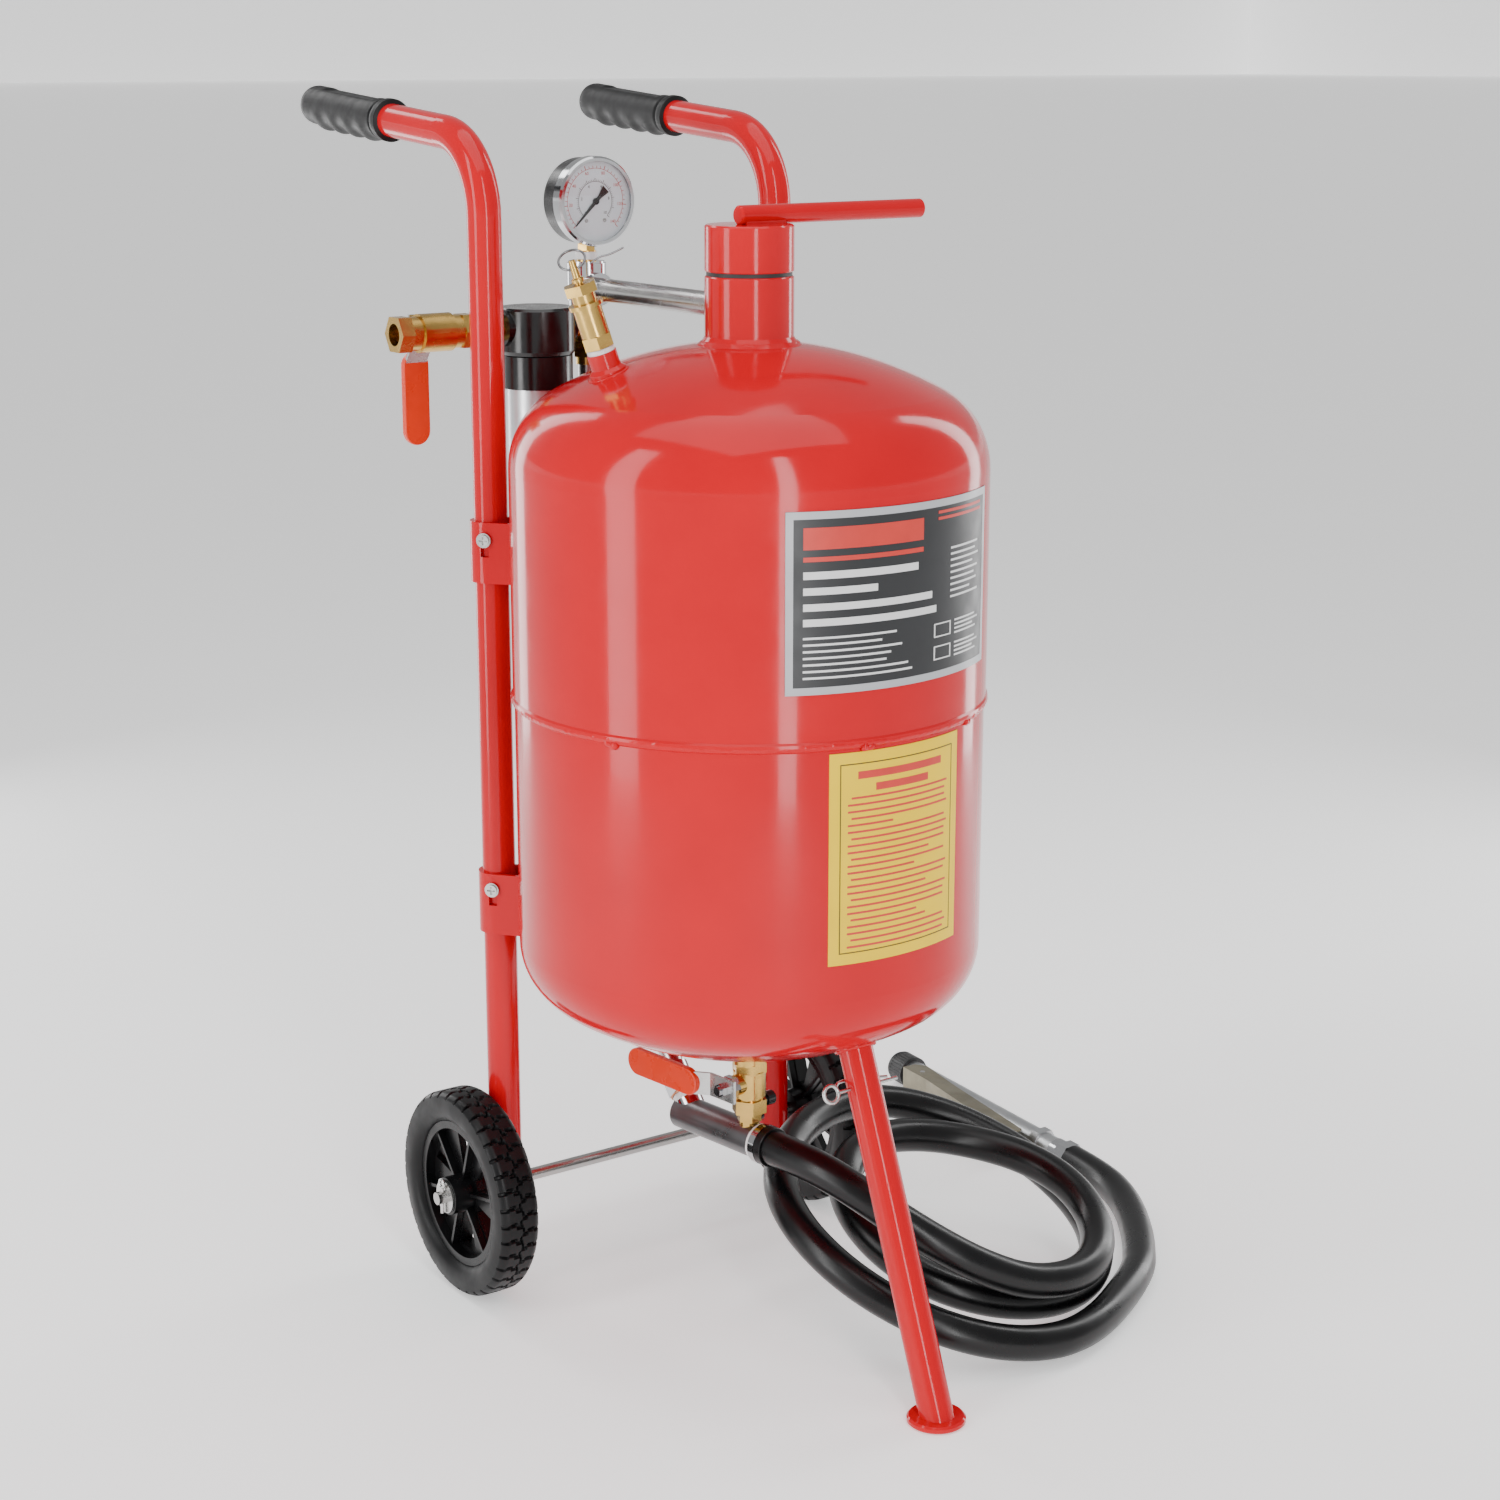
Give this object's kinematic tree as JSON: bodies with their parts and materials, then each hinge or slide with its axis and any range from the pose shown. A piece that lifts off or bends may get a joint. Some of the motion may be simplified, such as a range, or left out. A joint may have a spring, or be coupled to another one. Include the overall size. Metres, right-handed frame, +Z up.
{
  "type": "portable abrasive blasting tank",
  "caption": "Upright wheeled pressure tank for abrasive blasting, with front leg, push handles, filling cap, air inlet with filter and gauge, blasting valve, hose and gun.",
  "frame": {"origin": "middle of the base of the object without its hose, on the floor", "axes": "+X along the axle from the inlet valve's side to the other wheel, -Y towards the front leg, +Y towards the push handles, +Z up"},
  "size_m": [0.6036, 0.6828, 0.928],
  "materials": {
    "red_paint": "gloss stove enamel",
    "black_grip": "moulded, slightly satin",
    "hose_rubber": "smooth extruded cover",
    "gasket_rubber": "flat ring",
    "tyre_rubber": "moulded tread",
    "wheel_plastic": "injection moulded",
    "black_plastic": "moulded, glossy",
    "gauge_black": "painted steel case",
    "nozzle_plastic": "ribbed",
    "chrome_plate": "polished plating",
    "zinc_steel": "bright zinc plating",
    "bare_steel": "drawn steel, lightly oiled",
    "gun_steel": "yellow-grey zinc chromate",
    "gun_aluminium": "turned",
    "valve_brass": "forged and turned",
    "bowl_metal": "satin cast",
    "filter_sinter": "porous",
    "nozzle_ceramic": "fired, unglazed",
    "orange_vinyl": "dipped vinyl",
    "dial_card": "printed dial",
    "needle_black": "flat black",
    "gauge_glass": "clear lens",
    "plate_grey": "printed film, pale border, no lettering",
    "plate_yellow": "printed film, dark frame, no lettering"
  },
  "bodies": {
    "base": {"tank_upper_shell": "red_paint", "tank_lower_shell": "red_paint", "fill_neck": "red_paint", "relief_body": "valve_brass", "post_left": "red_paint", "post_right": "red_paint", "grip_left": "black_grip", "grip_right": "black_grip", "post_brackets": "red_paint", "bracket_bolts": "zinc_steel", "front_leg": "red_paint", "leg_clip": "zinc_steel", "axle": "bare_steel", "axle_washers_and_pins": "zinc_steel", "inlet_valve_body": "valve_brass", "outlet_valve_body": "valve_brass", "mixing_tube": "bare_steel", "hose_ferrule": "chrome_plate", "air_line": "bare_steel", "air_union": "chrome_plate", "manifold_tee": "chrome_plate", "manifold_cross": "valve_brass", "neck_pipe": "bare_steel", "gauge_case": "gauge_black", "gauge_bezel": "chrome_plate", "gauge_glass": "gauge_glass", "gauge_dial": "dial_card", "gauge_stem": "valve_brass", "filter_head": "black_plastic", "filter_collar": "black_plastic", "filter_bowl": "bowl_metal", "filter_element": "filter_sinter", "name_plate": "plate_grey", "caution_plate": "plate_yellow", "hose_lead": "hose_rubber", "hose_coil": "hose_rubber", "hose_tail": "hose_rubber", "gun_nut": "chrome_plate", "gun_body": "gun_aluminium", "gun_pin": "zinc_steel", "nozzle_cap": "nozzle_plastic", "nozzle": "nozzle_ceramic"},
    "cap_carrier": {"fill_gasket": "gasket_rubber"},
    "cap": {"fill_cap": "red_paint"},
    "relief_pull": {"relief_stem": "valve_brass", "relief_ring": "chrome_plate"},
    "wheel_left": {"wheel_hub_left": "wheel_plastic", "tyre_left": "tyre_rubber"},
    "wheel_right": {"wheel_hub_right": "wheel_plastic", "tyre_right": "tyre_rubber"},
    "inlet_handle": {"inlet_ball": "chrome_plate", "inlet_lever": "zinc_steel", "inlet_grip": "orange_vinyl"},
    "outlet_handle": {"outlet_ball": "chrome_plate", "outlet_lever": "zinc_steel", "outlet_grip": "orange_vinyl"},
    "drain_cock": {"drain_knob": "black_plastic"},
    "pointer": {"gauge_needle": "needle_black"},
    "filter_cock": {"filter_drain": "valve_brass"},
    "gun_trigger": {"gun_lever": "gun_steel"}
  },
  "joints": [
    {"name": "cap_rise", "type": "slide", "parent": "base", "child": "cap_carrier", "axis": [0, 0, 1], "range_m": [0, 0.01386]},
    {"name": "cap_turn", "type": "hinge", "parent": "cap_carrier", "child": "cap", "pos_m": [0, -0.08521, 0.82], "axis": [0, 0, 1], "range_deg": [0, 2160]},
    {"name": "relief_lift", "type": "slide", "parent": "base", "child": "relief_pull", "axis": [-0.2992, 0.0774, 0.9511], "range_m": [0, 0.004], "stiffness_N_per_m": 800, "springref_m": -0.004},
    {"name": "wheel_left_spin", "type": "hinge", "parent": "base", "child": "wheel_left", "pos_m": [-0.163, 0.06679, 0.082], "axis": [1, 0, 0], "continuous": true},
    {"name": "wheel_right_spin", "type": "hinge", "parent": "base", "child": "wheel_right", "pos_m": [0.163, 0.06679, 0.082], "axis": [1, 0, 0], "continuous": true},
    {"name": "inlet_valve_turn", "type": "hinge", "parent": "base", "child": "inlet_handle", "pos_m": [-0.136, 0.13679, 0.748], "axis": [0, 1, 0], "range_deg": [0, 90]},
    {"name": "outlet_valve_turn", "type": "hinge", "parent": "base", "child": "outlet_handle", "pos_m": [0, -0.08521, 0.186], "axis": [-0.9903, -0.1392, 0], "range_deg": [0, 90]},
    {"name": "drain_knob_turn", "type": "hinge", "parent": "base", "child": "drain_cock", "pos_m": [0.01783, -0.08271, 0.16677], "axis": [0.9903, 0.1392, 0], "range_deg": [0, 90]},
    {"name": "gauge_needle_turn", "type": "hinge", "parent": "base", "child": "pointer", "pos_m": [0, 0.12179, 0.842], "axis": [0, 1, 0], "range_deg": [0, 270], "stiffness_Nm_per_rad": 0.0005, "springref_deg": -17.19},
    {"name": "filter_drain_turn", "type": "hinge", "parent": "base", "child": "filter_cock", "pos_m": [-0.046, 0.13679, 0.616], "axis": [0, 0, 1], "range_deg": [0, 180]},
    {"name": "gun_lever_squeeze", "type": "hinge", "parent": "base", "child": "gun_trigger", "pos_m": [0.37871, 0.17517, 0.015], "axis": [0, 0, 1], "range_deg": [0, 6], "stiffness_Nm_per_rad": 2, "springref_deg": -8.59}
  ],
  "couplings": [
    {"joint": "cap_rise", "follows": "cap_turn", "m_per_rad": 0.00036765}
  ]
}
